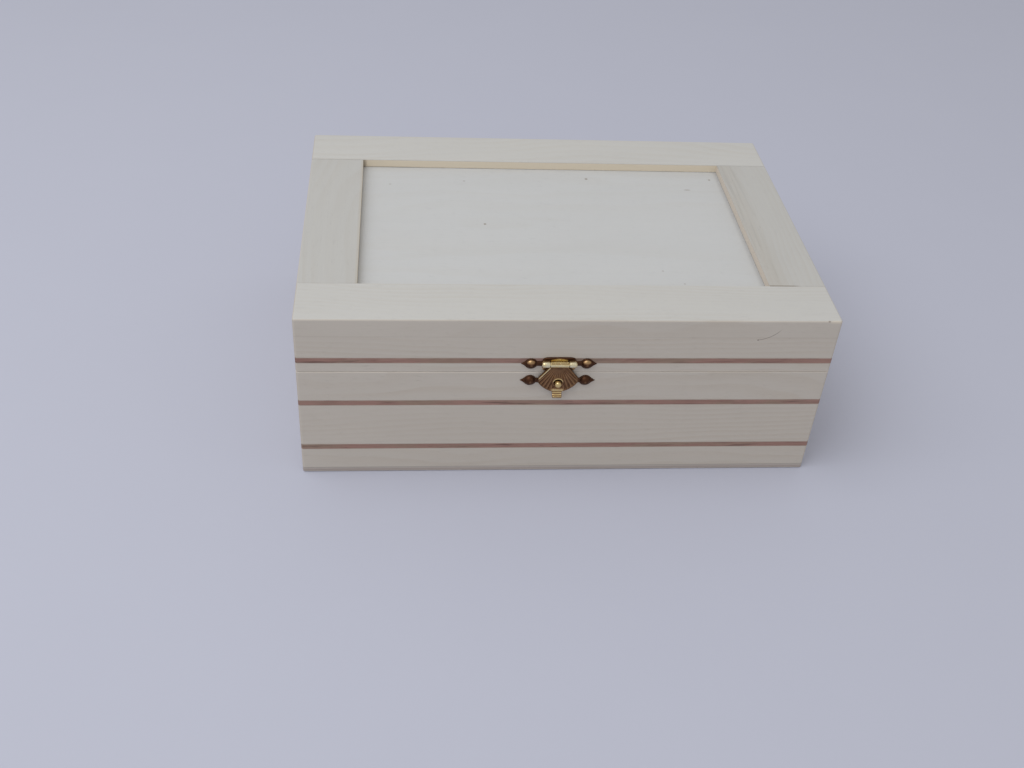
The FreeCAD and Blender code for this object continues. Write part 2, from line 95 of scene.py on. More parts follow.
class Field:
    """A value that changes over a surface; arithmetic on it adds Math nodes to its finish."""

    def __init__(self, finish, socket):
        self.finish = finish
        self.socket = socket

    def __add__(self, other):
        return self.finish.math("ADD", self, other)

    def __sub__(self, other):
        return self.finish.math("SUBTRACT", self, other)

    def __rsub__(self, other):
        return self.finish.math("SUBTRACT", other, self)

    def __mul__(self, other):
        return self.finish.math("MULTIPLY", self, other)

    def __truediv__(self, other):
        return self.finish.math("DIVIDE", self, other)

    def __pow__(self, other):
        return self.finish.math("POWER", self, other)

    def __abs__(self):
        return self.finish.math("ABSOLUTE", self)

    __radd__ = __add__
    __rmul__ = __mul__

    def least(self, other):
        return self.finish.math("MINIMUM", self, other)

    def most(self, other):
        return self.finish.math("MAXIMUM", self, other)

    def fraction(self):
        return self.finish.math("FRACT", self)

    def rise(self, low, high):
        """Smooth step from 0 at low to 1 at high; high may be the lower number."""
        limits = {0: self, 1: min(low, high), 2: max(low, high), 3: 0.0, 4: 1.0}
        if low > high:
            limits.update({3: 1.0, 4: 0.0})
        return self.finish.node("MapRange", {"interpolation_type": "SMOOTHSTEP"}, limits)


class Finish:
    """Material of one piece and its nodes."""

    def __init__(self, name):
        self.material = bpy.data.materials.new(name)
        self.material.use_nodes = True
        self.tree = self.material.node_tree
        self.tree.nodes.clear()

    def node(self, kind, settings=None, sockets=None, out=0):
        """Adds a node, sets it up, fills or links its sockets and gives back one of its outputs."""
        made = self.tree.nodes.new("ShaderNode" + kind)
        for name, value in (settings or {}).items():
            setattr(made, name, value)
        for key, value in (sockets or {}).items():
            if isinstance(value, Field):
                self.tree.links.new(value.socket, made.inputs[key])
            else:
                made.inputs[key].default_value = value
        return Field(self, made.outputs[out]) if made.outputs else None

    def math(self, operation, *values):
        return self.node("Math", {"operation": operation}, dict(enumerate(values)))

    def vector_math(self, operation, *values):
        return self.node("VectorMath", {"operation": operation}, dict(enumerate(values)))

    def parts(self, vector):
        """The three numbers of a vector."""
        first = self.node("SeparateXYZ", {}, {0: vector})
        return [Field(self, socket) for socket in first.socket.node.outputs]

    def place(self, offset=(0, 0, 0), turn_deg=(0, 0, 0)):
        """Object coordinates in millimetres, turned and then shifted."""
        raw = self.node("TexCoord", out="Object")
        turn = [math.radians(a) for a in turn_deg]
        sockets = {0: raw, "Location": offset, "Rotation": turn, "Scale": (1 / MM,) * 3}
        return self.node("Mapping", {"vector_type": "POINT"}, sockets)

    def noise(self, vector, factors, detail=2.0, roughness=0.5):
        """Noise about 0.5, with so many lumps to the millimetre along each axis."""
        sockets = {
            "Vector": self.vector_math("MULTIPLY", vector, factors),
            "Scale": 1.0,
            "Detail": detail,
            "Roughness": roughness,
        }
        return self.node("TexNoise", {"noise_dimensions": "3D"}, sockets)

    def mix(self, first, second, share):
        """Colour between two colours."""
        return self.node("Mix", {"data_type": "RGBA"}, {0: share, 6: first, 7: second}, 2)

    def tint(self, base, factors):
        """Colour with its red, green and blue each multiplied by a number."""
        return self.vector_math("MULTIPLY", base, factors)

    def shade(self, base, factor):
        """Colour made lighter or darker by a number."""
        return self.node("VectorMath", {"operation": "SCALE"}, {0: base, 3: factor})

    def close(self, base, roughness, metallic, height, depth_mm, level=0.5):
        """Principled surface with a bump of that depth, as the material's output."""
        normal = self.node("Bump", {}, {"Strength": 1.0, "Distance": depth_mm * MM, "Height": height})
        surface = self.node("BsdfPrincipled", {}, {
            "Base Color": base, "Roughness": roughness, "Metallic": metallic, "Normal": normal,
            "Specular IOR Level": level,
        })
        self.node("OutputMaterial", {}, {0: surface})
        return self.material


def colour(red, green, blue):
    return (red, green, blue, 1.0)


# Wood

class Timber:
    """Colours and figure of one kind of wood: ring width in millimetres, strengths as shares."""

    def __init__(self, early, late, ring, figure, fibre, mottle, pore):
        self.early = early
        self.late = late
        self.ring = ring
        self.figure = figure
        self.fibre = fibre
        self.mottle = mottle
        self.pore = pore


pale_timber = Timber(
    early=colour(0.590, 0.540, 0.474), late=colour(0.532, 0.462, 0.380),
    ring=2.4, figure=0.42, fibre=0.07, mottle=0.05, pore=0.09,
)
frame_timber = Timber(
    early=colour(0.570, 0.562, 0.540), late=colour(0.530, 0.503, 0.460),
    ring=2.6, figure=0.40, fibre=0.07, mottle=0.05, pore=0.08,
)
panel_timber = Timber(
    early=colour(0.577, 0.582, 0.583), late=colour(0.552, 0.545, 0.525),
    ring=3.4, figure=0.30, fibre=0.06, mottle=0.05, pore=0.08,
)
ply_timber = Timber(
    early=colour(0.50, 0.455, 0.415), late=colour(0.42, 0.36, 0.32),
    ring=3.0, figure=0.50, fibre=0.12, mottle=0.10, pore=0.15,
)
red_band = Timber(
    early=colour(0.352, 0.208, 0.170), late=colour(0.232, 0.125, 0.098),
    ring=0.9, figure=0.55, fibre=0.40, mottle=0.30, pore=0.45,
)
olive_band = colour(0.290, 0.210, 0.156)
soaked_edge = colour(0.490, 0.415, 0.345)
dark_core = colour(0.105, 0.060, 0.048)
tan_cut = colour(0.785, 0.690, 0.545)
# a darker, cooler copy of the sawn tan for the right stile's inner face: painted shade
tan_right_painted_shade = colour(0.665, 0.590, 0.510)
# dark for the painted shade in the lid's recess, and for the scratch and its dent
shade_and_scratch_dark = colour(0.125, 0.090, 0.065)
fleck_brown = colour(0.20, 0.15, 0.105)

strip_to_frame = [strip / rail for strip, rail in zip(pale_timber.early[:3], frame_timber.early)]
stile_darker = 0.09
end_grain_tint = (0.94, 0.92, 0.89)
brown_stile_tint = (0.95, 0.925, 0.89)
sanded_tint = (0.975, 0.945, 0.895)
middle_ply_tint = (0.80, 0.74, 0.72)
golden_turn = 2.399963
golden_share = 0.618034


def grain_place(finish, index, along_x, pith=None):
    """Coordinates of a board: first along the grain, then the two across it, measured from the pith."""
    turn = index * golden_turn
    reach = 55 + 60 * ((index * golden_share) % 1)
    across, up = pith or (reach * math.cos(turn), reach * math.sin(turn))
    lean = 1.1 * math.sin(3.7 * index)
    slope = 0.9 * math.cos(2.3 * index)
    offset = ((index * 311) % 1900, across, up)
    return finish.place(offset, (0, slope, lean + (0 if along_x else -90)))


def timber_look(finish, grain, timber):
    """Colour, roughness and height of solid wood.

    Growth rings are cylinders round the pith, bent by slow noise; each darkens towards its late wood.
    Fibres, mottling and pores are noise stretched along the grain.
    """
    _, across, up = finish.parts(grain)
    sway = finish.noise(grain, (0.006, 0.02, 0.02), 2.0) - 0.5
    wander = finish.noise(grain, (0.03, 0.12, 0.12), 2.0) - 0.5
    bent_across = across + sway * 26 + wander * 3
    bent_up = up + sway * 18 - wander * 2
    radius = (bent_across * bent_across + bent_up * bent_up) ** 0.5
    ring = (radius / timber.ring).fraction()
    late = ring.rise(0.15, 0.85) * ring.rise(1.0, 0.90)
    patch = finish.noise(grain, (0.012, 0.09, 0.09), 2.0)
    fibre = finish.noise(grain, (0.035, 2.4, 2.4), 3.0, 0.6) - 0.5
    hair = finish.noise(grain, (0.12, 7.0, 7.0), 1.0) - 0.5
    mottle = finish.noise(grain, (0.018, 0.06, 0.06), 3.0) - 0.5
    pore = finish.noise(grain, (0.22, 5.5, 5.5), 1.0).rise(0.66, 0.78)
    share = late * patch.rise(0.2, 0.75) * timber.figure
    tone = 1 + fibre * timber.fibre + hair * (timber.fibre * 0.5)
    tone = tone + mottle * timber.mottle - pore * timber.pore
    base = finish.shade(finish.mix(timber.early, timber.late, share), tone)
    rough = 0.60 + fibre * 0.16 - share * 0.06 + pore * 0.1
    height = fibre * 0.7 + hair * 0.35 - pore * 0.8 + share * 0.35
    return base, rough, height


wood_bump = 0.035
wood_gloss = 0.35


def end_grain(finish, base, position):
    """Darkens the sawn ends of full-length boards."""
    x, _, _ = finish.parts(position)
    mask = abs(x).rise(half_length - 0.7, half_length - 0.15)
    return finish.mix(base, finish.tint(base, end_grain_tint), mask)


def joint_lines(finish, base, position, low, high):
    """Thin darker lines where a strip is glued to the next one, stronger in places."""
    _, _, z = finish.parts(position)
    near = (z - low).least(high - z)
    strength = finish.noise(position, (0.03, 0.03, 0.0), 2.0).rise(0.3, 0.7) * 0.5 + 0.25
    return finish.mix(base, finish.shade(base, 0.78), near.rise(0.3, 0.05) * strength)


# Small marks of the photographed box
scratch_ends = np.array([[69.5, 64.6], [74.1, 66.2], [78.2, 70.1]])
scratch_width = 0.15
scratch_full = 0.75
scratch_dent = 0.38
scratch_strength = 0.95
bruise_place = np.array([97.6, -70.4, 72.6])
bruise_size = (3.2, 1.2, 1.0)
nick_place = np.array([94.9, -70.3, 72.9])
nick_size = (0.7, 0.45, 0.5)
# Painted light along the lid seam: how much its eased edges are lightened
seam_light_until = -12.0
seam_left_painted_light = 1.27
seam_painted_light_elsewhere = 1.15
seam_lid_extra_painted_light = 0.35


def circle_through(first, second, third):
    """Centre and radius of the circle through three points of a plane."""
    rows = 2 * np.array([second - first, third - first])
    sums = np.array([second @ second - first @ first, third @ third - first @ first])
    centre = np.linalg.solve(rows, sums)
    return centre, np.linalg.norm(first - centre)


def scratched(finish, base, position):
    """Fine dark scratch along an arc on the front, right of the middle."""
    x, y, z = finish.parts(position)
    (centre_x, centre_z), radius = circle_through(*scratch_ends)
    from_x = x - centre_x
    from_z = z - centre_z
    off = abs((from_x * from_x + from_z * from_z) ** 0.5 - radius)
    start, _, end = scratch_ends[:, 0]
    along = x.rise(start, start + 0.3) * x.rise(end, start + scratch_full * (end - start))
    front = y.rise(front_face + 0.4, front_face + 0.1)
    base = finish.mix(base, shade_and_scratch_dark, off.rise(scratch_width, 0.0) * along * front * scratch_strength)
    dent_place = np.array([start, front_face, scratch_ends[0][1]])
    dent = spot(finish, position, dent_place, (scratch_dent,) * 3, 0.3) * 0.9
    return finish.mix(base, shade_and_scratch_dark, dent)


def spot(finish, position, centre, size, core):
    """1 inside a small ellipsoid round a place, fading to 0 at its surface."""
    scale = 1 / np.array(size)
    scaled = finish.vector_math("MULTIPLY", position, scale)
    off = finish.node("VectorMath", {"operation": "DISTANCE"}, {0: scaled, 1: centre * scale}, "Value")
    return off.rise(1.0, core)


def bruised(finish, base, position):
    """Knocked corner of the lid, front right: bare tan wood and a dark nick beside it."""
    bare = spot(finish, position, bruise_place, bruise_size, 0.3) * 0.35
    nick = spot(finish, position, nick_place, nick_size, 0.2) * 0.7
    return finish.mix(finish.mix(base, tan_cut, bare), fleck_brown, nick)


def seam_painted_light(finish, base, position):
    """Seam edge: painted light, strongest on the left of the front, less elsewhere and mostly on the lid.
    """
    x, y, z = finish.parts(position)
    from_seam = z - (base_top + lid_bottom) / 2
    near = abs(from_seam).rise(0.55, 0.30)
    left = x.rise(seam_light_until + 8, seam_light_until) * y.rise(front_face + 2.0, front_face + 1.0)
    # painted light on both eased edges at the left of the front
    base = finish.mix(base, finish.shade(base, seam_left_painted_light), near * left)
    # elsewhere weaker painted light, more on the lid's downward edge than on the base's
    lighter = from_seam.rise(-0.05, 0.05) * seam_lid_extra_painted_light + seam_painted_light_elsewhere
    return finish.mix(base, finish.shade(base, lighter), near * (1 - left))


def strip_finish(name, index):
    """Pale wall strip: solid wood along the wall."""
    finish = Finish(name)
    along_x = "front" in name or "rear" in name
    low, high = span(name)
    position = finish.place()
    base, rough, height = timber_look(finish, grain_place(finish, index, along_x), pale_timber)
    base = joint_lines(finish, base, position, low[2], high[2])
    if along_x:
        base = end_grain(finish, base, position)
    # rim and lip strips take the painted light along the seam
    if name.endswith(("rim_strip", "lip_strip")):
        base = seam_painted_light(finish, base, position)
    if name == "lid_front_crown_strip":
        base = scratched(finish, base, position)
    return finish.close(base, rough, 0.0, height, wood_bump, wood_gloss)


def band_finish(name, index):
    """Dark strip: red brown drifting to olive, with broken dark streaks along it and soft edges."""
    finish = Finish(name)
    along_x = "front" in name or "rear" in name
    low, high = span(name)
    position = finish.place()
    grain = grain_place(finish, index, along_x)
    base, rough, height = timber_look(finish, grain, red_band)
    drift = finish.noise(grain, (0.045, 0.3, 0.3), 3.0).rise(0.42, 0.66)
    olive = finish.shade(olive_band[:3], finish.noise(grain, (0.3, 2, 2)) * 0.5 + 0.78)
    base = finish.mix(base, olive, drift * 0.8)
    _, _, z = finish.parts(position)
    streak = finish.noise(grain, (0.05, 1.1, 1.1), 3.0, 0.6).rise(0.56, 0.68)
    base = finish.mix(base, dark_core, streak * 0.55)
    near = (z - low[2]).least(high[2] - z) + (finish.noise(grain, (0.25, 2.0, 2.0)) - 0.5) * 0.5
    base = finish.mix(base, soaked_edge, near.rise(0.32, 0.02) * 0.45)
    if along_x:
        base = end_grain(finish, base, position)
    return finish.close(base, rough, 0.0, height, wood_bump, wood_gloss)


def frame_finish(name, index):
    """Rail or stile of the lid: planed top, warmer outer edge, and a tan sawn face round the panel with
    painted shade at its foot.
    """
    finish = Finish(name)
    rail = name.endswith("rail")
    position = finish.place()
    x, y, z = finish.parts(position)
    base, rough, height = timber_look(finish, grain_place(finish, index, rail), frame_timber)
    outer = abs(y).rise(half_depth - 0.5, half_depth - 0.1).most(
        abs(x).rise(half_length - 0.5, half_length - 0.1)
    )
    if not rail:
        base = finish.shade(base, 1 - stile_darker * (1 - outer))
    base = finish.mix(base, finish.tint(base, strip_to_frame), outer)
    below = z.rise(lid_top - 0.02, lid_top - 0.25)
    foot = z.rise(panel_top + 0.6, panel_top + 0.1)
    streaks = finish.noise(position, (0.05, 0.05, 0.3), 3.0).rise(0.35, 0.65)
    if rail:
        sawn = abs(y).rise(opening_half_depth + 0.15, opening_half_depth + 0.04) * below
        sawn = sawn * abs(x).rise(opening_half_length + 0.05, opening_half_length - 0.05)
        # painted shade at the foot of a rail's sawn face, stronger to the left, and in the recess's left
        # corners
        corner = x.rise(2.0 - opening_half_length, 0.3 - opening_half_length)
        shadow = (foot * (x.rise(-20.0, -50.0) * 0.4 + 0.05) * streaks).most(corner * 0.6)
        base = end_grain(finish, base, position)
    else:
        sawn = abs(x).rise(opening_half_length + 0.15, opening_half_length + 0.04) * below
        # painted shade at the foot of a stile's sawn face
        shadow = foot * 0.2
        base = stile_ends(finish, base, position, name)
    cut = tan_right_painted_shade if name == "lid_right_stile" else tan_cut
    base = finish.mix(base, finish.mix(cut, shade_and_scratch_dark, shadow), sawn * 0.9)
    if name == "lid_front_rail":
        base = bruised(finish, scratched(finish, base, position), position)
    return finish.close(base, rough, 0.0, height, wood_bump, wood_gloss)


def stile_ends(finish, base, position, name):
    """Joint lines at both ends of a stile.

    The right one also has a browner, streaked strip beside the panel, the left one a sanded inner edge.
    """
    x, y, _ = finish.parts(position)
    joint = abs(y).rise(opening_half_depth - 0.7, opening_half_depth - 0.3)
    broken = finish.noise(position, (0.12, 0.0, 0.0), 2.0).rise(0.35, 0.6)
    strength = broken * 0.08
    if "right" in name:
        brown = x.rise(opening_half_length + 11.0, opening_half_length + 3.0)
        cloud = finish.noise(position, (0.05, 0.012, 0.0), 3.0).rise(0.3, 0.6)
        base = finish.mix(base, finish.tint(base, brown_stile_tint), brown * cloud)
        streak = finish.noise(position, (0.9, 0.02, 0.0), 3.0).rise(0.48, 0.68)
        base = finish.shade(base, 1 - brown * streak * 0.1)
        open_joint = x.rise(opening_half_length + 13.0, opening_half_length + 9.0) * y.rise(0.0, -1.0)
        strength = strength.most(open_joint * 0.9)
    else:
        sanded = x.rise(-opening_half_length - 1.2, -opening_half_length - 0.4)
        base = finish.mix(base, finish.tint(base, sanded_tint), sanded)
    return finish.mix(base, fleck_brown, joint * strength)


class Speck:
    """Small dark fleck of the panel, in millimetres from its middle."""

    def __init__(self, x, y, length, width, strength):
        self.x = x
        self.y = y
        self.length = length
        self.width = width
        self.strength = strength


panel_specks = [
    Speck(x=-27.8, y=1.2, length=0.75, width=0.75, strength=0.75),
    Speck(x=-34.8, y=36.6, length=0.75, width=0.7, strength=0.35),
    Speck(x=-66.4, y=33.0, length=0.8, width=0.8, strength=0.25),
    Speck(x=18.6, y=40.0, length=0.9, width=0.7, strength=0.85),
    Speck(x=73.6, y=40.8, length=0.7, width=0.8, strength=0.6),
    Speck(x=61.9, y=31.6, length=2.0, width=0.65, strength=0.42),
    Speck(x=39.8, y=-32.5, length=0.6, width=0.6, strength=0.35),
    Speck(x=46.8, y=-41.4, length=0.6, width=0.6, strength=0.35),
]


def flecked(finish, base, position):
    """Darkens the panel's upper face at its specks, each an ellipse with a soft edge."""
    for speck in panel_specks:
        centre = np.array([speck.x, speck.y, panel_top])
        mask = spot(finish, position, centre, (speck.length, speck.width, 1.0), 0.35)
        base = finish.mix(base, fleck_brown, mask * speck.strength)
    return base


# Painted shade of the panel: its margins at the frame and a thin line along it
left_margin = 8.0
left_margin_painted_shade = 0.07
right_margin = 2.4
right_margin_painted_shade = 0.17
panel_shade_line = 0.45
panel_shade_line_strength = 0.12


def panel_finish(name, index, pith):
    """Sunken panel: flat-cut veneer with faint broad figure, specks, and painted shade in its margins at
    the frame.
    """
    finish = Finish(name)
    position = finish.place()
    base, rough, height = timber_look(finish, grain_place(finish, index, True, pith), panel_timber)
    x, y, z = finish.parts(position)
    upper = z.rise(panel_top - 0.3, panel_top - 0.1)
    base = flecked(finish, base, position)
    # painted shade line where the panel meets the frame, broken and only towards the left
    edge = (opening_half_length - abs(x)).least(opening_half_depth - abs(y))
    broken = finish.noise(position, (0.06, 0.06, 0.0), 3.0).rise(0.3, 0.65) * x.rise(-20.0, -60.0)
    line = edge.rise(panel_shade_line, 0.1) * broken * upper * panel_shade_line_strength
    base = finish.mix(base, shade_and_scratch_dark, line)
    # painted shade in soft margins along the left and right of the frame
    left = (x + opening_half_length).rise(left_margin, 1.0) * left_margin_painted_shade
    right = (opening_half_length - x).rise(right_margin, 0.2) * right_margin_painted_shade
    base = finish.shade(base, 1 - (left + right) * upper)
    return finish.close(base, rough, 0.0, height, wood_bump, wood_gloss)


def bottom_finish(name, index, pith):
    """Thin plywood under the walls: pinkish grey edges with a darker ply between two paler ones."""
    finish = Finish(name)
    low, high = span(name)
    position = finish.place()
    base, rough, height = timber_look(finish, grain_place(finish, index, True, pith), ply_timber)
    _, _, z = finish.parts(position)
    share = (z - low[2]) / (high[2] - low[2])
    core = share.rise(0.28, 0.36) * share.rise(0.72, 0.64)
    base = finish.mix(base, finish.tint(base, middle_ply_tint), core * 0.7)
    base = finish.mix(base, finish.shade(base, 0.6), share.rise(0.9, 1.0))
    return finish.close(base, rough, 0.0, height, wood_bump, wood_gloss)


# Brass

# The darkest brass is dirt in hollows, and also painted shade on the nails and the flap's knuckle.
brass_grime_and_shade = colour(0.068, 0.028, 0.016)
brass_brown = colour(0.345, 0.195, 0.100)
brass_gold = colour(0.82, 0.65, 0.325)
brass_pale = colour(0.86, 0.79, 0.57)

# How bright the nails' painted reflection is; the stud and hinges have one even shine
upper_nail_painted_reflection = 0.62
lower_nail_painted_reflection = 0.1
stud_polish = 0.7
hinge_polish = 0.72


def brass_close(finish, position, shine_and_painted_light):
    """Pressed brass: gold where worn bright, brown elsewhere, nearly black in hollows, finely scratched.
    """
    cloud = finish.noise(position, (0.45, 0.45, 0.45), 3.0) - 0.5
    grit = finish.noise(position, (9, 9, 9), 2.0) - 0.5
    # the shine number also carries painted highlights and painted shade
    shine = (cloud * 0.3 + grit * 0.16 + shine_and_painted_light).least(1.0).most(0.0)
    base = finish.mix(brass_grime_and_shade, brass_brown, shine.rise(-0.1, 0.5))
    base = finish.mix(base, brass_gold, shine.rise(0.38, 0.85))
    base = finish.mix(base, brass_pale, shine.rise(0.84, 1.0))
    rough = 0.46 - shine * 0.22 + grit * 0.10
    return finish.close(base, rough, 1.0, grit * 0.5 + cloud * 0.5, 0.015)


def brass_finish(name, shine_and_painted_light):
    """Brass of one even shine."""
    finish = Finish(name)
    return brass_close(finish, finish.place(), shine_and_painted_light)


def relief_finish(name):
    """Pressed brass whose point attribute gives its wear and its painted light and shade."""
    finish = Finish(name)
    shine_and_painted_light = finish.node("Attribute", {"attribute_name": "shine_and_painted_light"}, {}, "Fac")
    return brass_close(finish, finish.place(), shine_and_painted_light)


def nail_painted_reflection_finish(name, nail_z, brightest):
    """Clasp nails: painted shade at the rim and below, painted reflection on the dome's upper side."""
    finish = Finish(name)
    position = finish.place()
    x, _, z = finish.parts(position)
    side = abs(x - clasp_x) - nail_spread
    up = z - nail_z
    off = (side * side + up * up) ** 0.5
    inside = off.rise(1.02 * nail_head_radius, 0.92 * nail_head_radius)
    # painted reflection on the upper side of the dome, and a faint painted highlight at its middle
    crown = up.rise(0.1 * nail_head_radius, 0.6 * nail_head_radius) * inside * brightest
    apex = off.rise(0.45 * nail_head_radius, 0.1 * nail_head_radius) * 0.3
    return brass_close(finish, position, crown + apex - 0.1)


# Surfaces

def smooth_step(low, high, value):
    """0 at low, 1 at high, smooth between, for whole arrays; high may be the lower number."""
    share = np.clip((value - low) / (high - low), 0, 1)
    return share * share * (3 - 2 * share)


def ring_faces(rows, columns, closed):
    """Quads between neighbouring rings, and from the last back to the first if the path is closed."""
    row = np.arange(rows if closed else rows - 1)[:, None]
    column = np.arange(columns)[None, :]
    next_row = (row + 1) % rows
    next_column = (column + 1) % columns
    corners = [row * columns + column, next_row * columns + column]
    corners += [next_row * columns + next_column, row * columns + next_column]
    return np.stack(np.broadcast_arrays(*corners), -1).reshape(-1, 4)


def ring_caps(rows, columns):
    """Fans from the first and last ring to the two extra points at the end of the list."""
    here = np.arange(columns)
    ahead = (here + 1) % columns
    first = np.full(columns, rows * columns)
    last_row = (rows - 1) * columns
    return np.concatenate([
        np.stack([here, ahead, first], -1),
        np.stack([last_row + ahead, last_row + here, first + 1], -1),
    ])


def signed_volume(points, faces):
    """Volume inside quads, negative if they point inwards."""
    a, b, c, d = (points[faces[:, i]] for i in range(4))
    return np.einsum("ij,ij->", np.cross(b - a, c - a) + np.cross(c - a, d - a), a)


crease_deg = 48.0


def make_piece(name, rings, shine_and_painted_light, body, node, closed):
    """Closed mesh through rings of points in millimetres, riding on a body in the place of a node."""
    rows, columns = rings.shape[:2]
    points = rings.reshape(-1, 3)
    point_shine_and_painted_light = np.broadcast_to(shine_and_painted_light, (rows, columns)).reshape(-1)
    quads = ring_faces(rows, columns, closed)
    faces = quads.tolist()
    flip = signed_volume(points - points.mean(0), quads) < 0
    if not closed:
        points = np.concatenate([points, [rings[0].mean(0), rings[-1].mean(0)]])
        point_shine_and_painted_light = np.concatenate([point_shine_and_painted_light, [point_shine_and_painted_light[0], point_shine_and_painted_light[-1]]])
        faces += ring_caps(rows, columns).tolist()
    if flip:
        faces = [face[::-1] for face in faces]
    mesh = bpy.data.meshes.new(name)
    mesh.from_pydata((points * MM).tolist(), [], faces)
    mesh.shade_smooth()
    mesh.set_sharp_from_angle(angle=math.radians(crease_deg))
    attribute = mesh.attributes.new("shine_and_painted_light", "FLOAT", "POINT")
    attribute.data.foreach_set("value", point_shine_and_painted_light.astype(np.float32))
    mesh.materials.append(relief_finish(name))
    piece = bpy.data.objects.new(name, mesh)
    bpy.context.scene.collection.objects.link(piece)
    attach(piece, body)
    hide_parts(node)
    return piece


# Clasp plates

sheet_thick = front_face - plate_face
eyelet_radius = 2.3
tip_reach = catch_high[0] - clasp_x - nail_spread
tip_spread_deg = 38.0
tip_hollow = 1.25
wing_neck_half = 1.0
heart_half = 6.2
heart_squareness = 6
heart_low = lid_bottom + 0.6
pad_radius = (catch_high[2] - catch_low[2]) / 2
pad_squareness = 2
plate_columns = 181
plate_edge = 0.35
corner_polish = 0.5
tongue_painted_highlight = 0.95


def wing_half_height(x):
    """Half the height of a winged plate at x from its middle.

    The largest of a straight neck, a round eyelet, and a hollow-sided point that leaves the eyelet at
    the spread angle and shrinks to nothing at the tip.
    """
    beyond = np.abs(x) - nail_spread
    eyelet = np.sqrt(np.clip(eyelet_radius ** 2 - beyond ** 2, 0, None))
    neck = np.where(beyond < 0, wing_neck_half, 0)
    spread = math.radians(tip_spread_deg)
    root = eyelet_radius * math.cos(spread)
    left = np.clip(1 - (beyond - root) / (tip_reach - root), 0, 1)
    point = np.where(beyond > root, eyelet_radius * math.sin(spread) * left ** tip_hollow, 0)
    return np.maximum(np.maximum(eyelet, neck), point) + 0.01


def plate_rings(nail_z, middle_half, middle_low, middle_high, squareness):
    """Rings along a winged plate: flat on the wood behind, domed in front with rounded edges.

    Each ring runs over the front from the lower to the upper edge and back along the wood. The edges are
    the wings' half heights about the nails, or the middle's block where that reaches further, a circle for
    squareness 2 and a block with rounded corners for more.
    """
    tip = nail_spread + tip_reach
    x = tip * np.sin(np.linspace(-np.pi / 2, np.pi / 2, plate_columns))
    wings = wing_half_height(x)
    inside = np.clip(1 - np.abs(x / middle_half) ** squareness, 0, 1) ** (1 / squareness)
    centre = (middle_low + middle_high) / 2
    block = inside * (middle_high - middle_low) / 2
    high = np.where(inside > 0, np.maximum(nail_z + wings, centre + block), nail_z + wings)
    low = np.where(inside > 0, np.minimum(nail_z - wings, centre - block), nail_z - wings)
    across = np.sin(np.linspace(-np.pi / 2, np.pi / 2, 33))
    half = ((high - low) / 2)[:, None]
    z_front = ((high + low) / 2)[:, None] + half * across
    inset = half * (1 - np.abs(across))
    end_inset = (tip - np.abs(x))[:, None]
    edge = np.clip(np.minimum(inset, end_inset) / plate_edge, 0, 1)
    lift = sheet_thick * (0.25 + 0.75 * np.sqrt(1 - (1 - edge) ** 2)) * (1 - 0.12 * across ** 2)
    z = np.concatenate([z_front, z_front[:, ::-1]], 1)
    y = front_face - np.concatenate([lift, np.zeros_like(lift)], 1)
    return np.stack([np.broadcast_to(clasp_x + x[:, None], z.shape), y, z], -1)


def make_plates():
    """Winged plate of the lid behind the barrel, and of the base behind the flap."""
    rings = plate_rings(upper_nail_z, heart_half, heart_low, upper_high[2], heart_squareness)
    from_middle = np.abs(rings[..., 0] - clasp_x)
    corner = corner_polish * smooth_step(pin_z - 1.0, pin_z - 2.5, rings[..., 2])
    arch = upper_high[2] - 0.45 - 0.06 * from_middle ** 2
    # painted highlight in an arch on the middle of the plate, between the barrel and its top edge
    tongue = tongue_painted_highlight * smooth_step(3.6, 3.0, from_middle)
    tongue = tongue * smooth_step(arch + 0.2, arch - 0.2, rings[..., 2])
    tongue = tongue * smooth_step(pin_z, pin_z + 0.5, rings[..., 2])
    shine_and_painted_light = np.where(from_middle < heart_half, corner + tongue, 0)
    make_piece("clasp_upper_winged_plate", rings, shine_and_painted_light, "lid", "clasp_upper_plate", False)
    rings = plate_rings(catch_z, pad_radius, catch_low[2], catch_high[2], pad_squareness)
    make_piece("clasp_lower_winged_plate", rings, 0.0, "base", "clasp_lower_plate", False)


# Clasp barrel

knuckle_radius = flap_back - pin_y
pin_room = 0.04
flap_neck_half = 3.45
knuckle_gap = 0.2
ball_end = 0.85
roll_line_deg = 128.0
roll_line_half_deg = 9.0
roll_line_depth = 0.16


def tube_rings(left, right, radius):
    """Rings of a bored tube along the pin: a profile along the outside and back through the bore.

    radius gives the outside's distance from the pin line for an X and an angle, which runs from the wood
    side over the top to the front.
    """
    x = (left + right) / 2 + (right - left) / 2 * np.sin(np.linspace(-np.pi / 2, np.pi / 2, 41))
    angle = np.linspace(0, 2 * np.pi, 72, endpoint=False)
    outside = radius(x[:, None], angle[None, :])
    bore = np.full((2, angle.size), pin_radius + pin_room)
    reach = np.concatenate([outside, bore])
    along = np.concatenate([x, [right, left]])[:, None]
    y = pin_y + reach * np.cos(angle)
    z = pin_z + reach * np.sin(angle)
    return np.stack([np.broadcast_to(along, z.shape), y, z], -1)


def rounded_end(x, end, length):
    """Share of the full radius near a rounded end: a quarter circle of that length."""
    left = np.clip(1 - np.abs(x - end) / length, 0, 1)
    return np.sqrt(1 - 0.72 * left ** 2)


